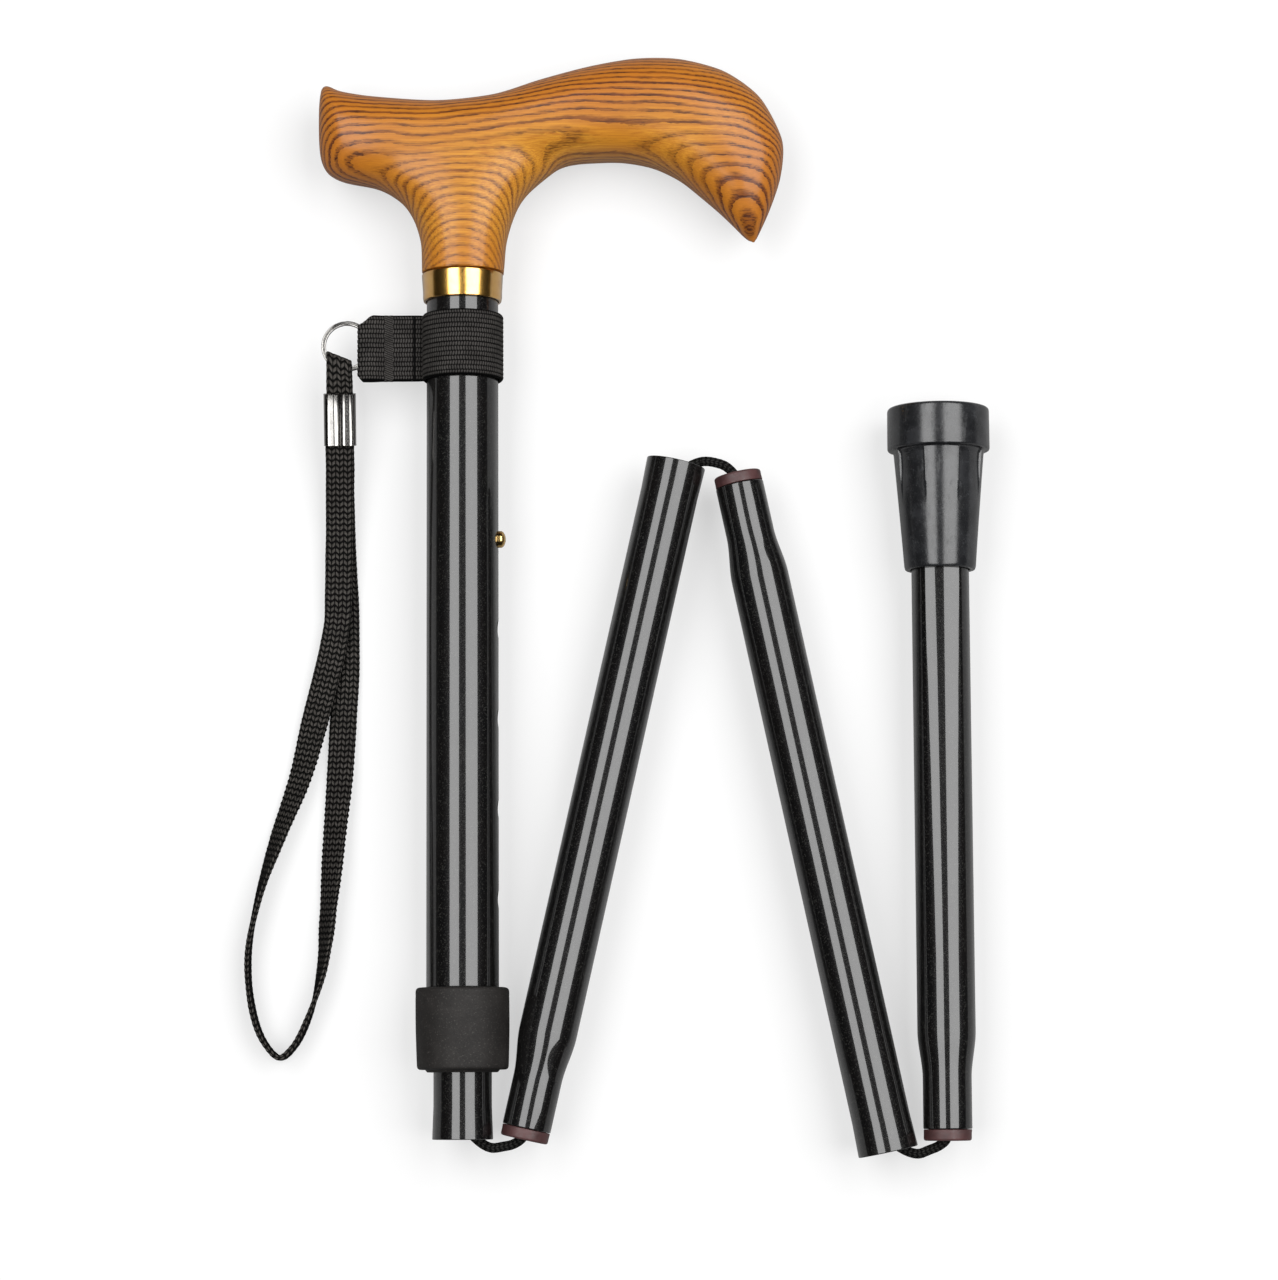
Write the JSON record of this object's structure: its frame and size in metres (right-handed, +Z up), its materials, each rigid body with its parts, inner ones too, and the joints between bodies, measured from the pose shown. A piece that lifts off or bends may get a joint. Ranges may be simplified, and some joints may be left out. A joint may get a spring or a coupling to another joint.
{
  "type": "folding walking cane",
  "caption": "Height-adjustable folding walking cane with a wooden derby handle, shock-corded tube sections, wrist strap and rubber tip.",
  "frame": {"origin": "on the floor, under the middle of the box round the part-folded cane lying on its side, without its wrist strap", "axes": "+Y along the upper tube towards the handle, the longest way; +Z up off the floor, square to the plane that all the sections lie and fold in; +X across the sections, from the wrist strap's side towards the rubber tip"},
  "size_m": [0.2081, 0.3078, 0.0287],
  "materials": {
    "ash_wood": "stained and satin lacquered ash, flat-sawn grain",
    "gold_metal": "polished, gold coloured",
    "black_tube": "black satin anodised and lacquered aluminium tube with a faint sparkle",
    "sleeve_rubber": "matte black moulded rubber",
    "tip_rubber": "semi-matte black moulded rubber, scuffed",
    "nylon": "natural nylon",
    "brown_plastic": "dark brown moulded plastic",
    "black_plastic": "black moulded plastic",
    "brass_button": "turned and tumbled",
    "steel": "bright mild steel",
    "nickel": "bright nickel plate",
    "webbing": "black ribbed elastic webbing with bar stitching",
    "strap_braid": "black flat polyester braid, herringbone",
    "shock_cord": "black braided cover over an elastic core"
  },
  "bodies": {
    "upper": {"handle": "ash_wood", "handle_stud": "steel", "top_plug": "nylon", "collar": "gold_metal", "upper_tube": "black_tube", "tube_sleeve": "sleeve_rubber", "wrist_band": "webbing", "ring_loop": "webbing"},
    "ring": {"split_ring": "nickel"},
    "strap": {"strap_eye": "strap_braid", "strap_crimp": "nickel", "wrist_strap": "strap_braid"},
    "shaft": {"inner_tube": "black_tube", "tube_bush": "nylon", "button_spring": "steel", "cord_anchor_top": "black_plastic", "cord_knot_top": "shock_cord", "cord_1": "shock_cord", "cord_exit_1": "shock_cord", "cord_turn_1": "shock_cord"},
    "button": {"snap_button": "brass_button"},
    "fold_1_link": {"cord_entry_1": "shock_cord"},
    "section_2": {"section_2_tube": "black_tube", "section_2_cap": "brown_plastic", "cord_2": "shock_cord", "cord_exit_2": "shock_cord", "cord_turn_2": "shock_cord"},
    "fold_2_link": {"cord_entry_2": "shock_cord"},
    "section_3": {"section_3_tube": "black_tube", "section_3_cap": "brown_plastic", "cord_3": "shock_cord", "cord_exit_3": "shock_cord", "cord_turn_3": "shock_cord"},
    "fold_3_link": {"cord_entry_3": "shock_cord"},
    "section_4": {"section_4_tube": "black_tube", "section_4_cap": "brown_plastic", "cord_4": "shock_cord", "cord_anchor_bottom": "black_plastic", "cord_knot_bottom": "shock_cord", "tip_disc": "steel", "rubber_tip": "tip_rubber"}
  },
  "joints": [
    {"name": "height_adjust", "type": "slide", "parent": "upper", "child": "shaft", "axis": [0, -1, 0], "range_m": [0, 0.1], "deforming": ["snap_button"]},
    {"name": "button_press", "type": "slide", "parent": "shaft", "child": "button", "axis": [-1, 0, 0], "range_m": [0, 0.0032], "stiffness_N_per_m": 900, "deforming": ["button_spring"]},
    {"name": "unfold_1", "type": "hinge", "parent": "shaft", "child": "fold_1_link", "pos_m": [-0.0452, -0.14875, 0.01434], "axis": [0, 0, -1], "range_deg": [0, 167.1], "deforming": ["cord_exit_1", "cord_turn_1", "cord_entry_1"]},
    {"name": "seat_1", "type": "slide", "parent": "fold_1_link", "child": "section_2", "axis": [-0.2233, -0.9748, 0], "range_m": [0, 0.0236]},
    {"name": "unfold_2", "type": "hinge", "parent": "section_2", "child": "fold_2_link", "pos_m": [0.01433, 0.03725, 0.01434], "axis": [0, 0, 1], "range_deg": [0, 155.1], "deforming": ["cord_exit_2", "cord_turn_2", "cord_entry_2"]},
    {"name": "seat_2", "type": "slide", "parent": "fold_2_link", "child": "section_3", "axis": [-0.2079, 0.9781, 0], "range_m": [0, 0.0249]},
    {"name": "unfold_3", "type": "hinge", "parent": "section_3", "child": "fold_3_link", "pos_m": [0.0712, -0.15094, 0.01434], "axis": [0, 0, -1], "range_deg": [0, 168], "deforming": ["cord_exit_3", "cord_turn_3", "cord_entry_3"]},
    {"name": "seat_3", "type": "slide", "parent": "fold_3_link", "child": "section_4", "axis": [0, -1, 0], "range_m": [0, 0.023]},
    {"name": "ring_swing", "type": "hinge", "parent": "upper", "child": "ring", "pos_m": [-0.07935, 0.07225, 0.01434], "axis": [0, 1, 0], "range_deg": [-90, 90], "deforming": ["ring_loop"]},
    {"name": "strap_swing", "type": "hinge", "parent": "ring", "child": "strap", "pos_m": [-0.08795, 0.0661, 0.01434], "axis": [1, 0, 0], "range_deg": [-80, 80], "deforming": ["strap_eye"]}
  ],
  "couplings": [
    {"joint": "unfold_2", "follows": "unfold_1", "ratio": 0.92818},
    {"joint": "unfold_3", "follows": "unfold_1", "ratio": 1.0054}
  ]
}
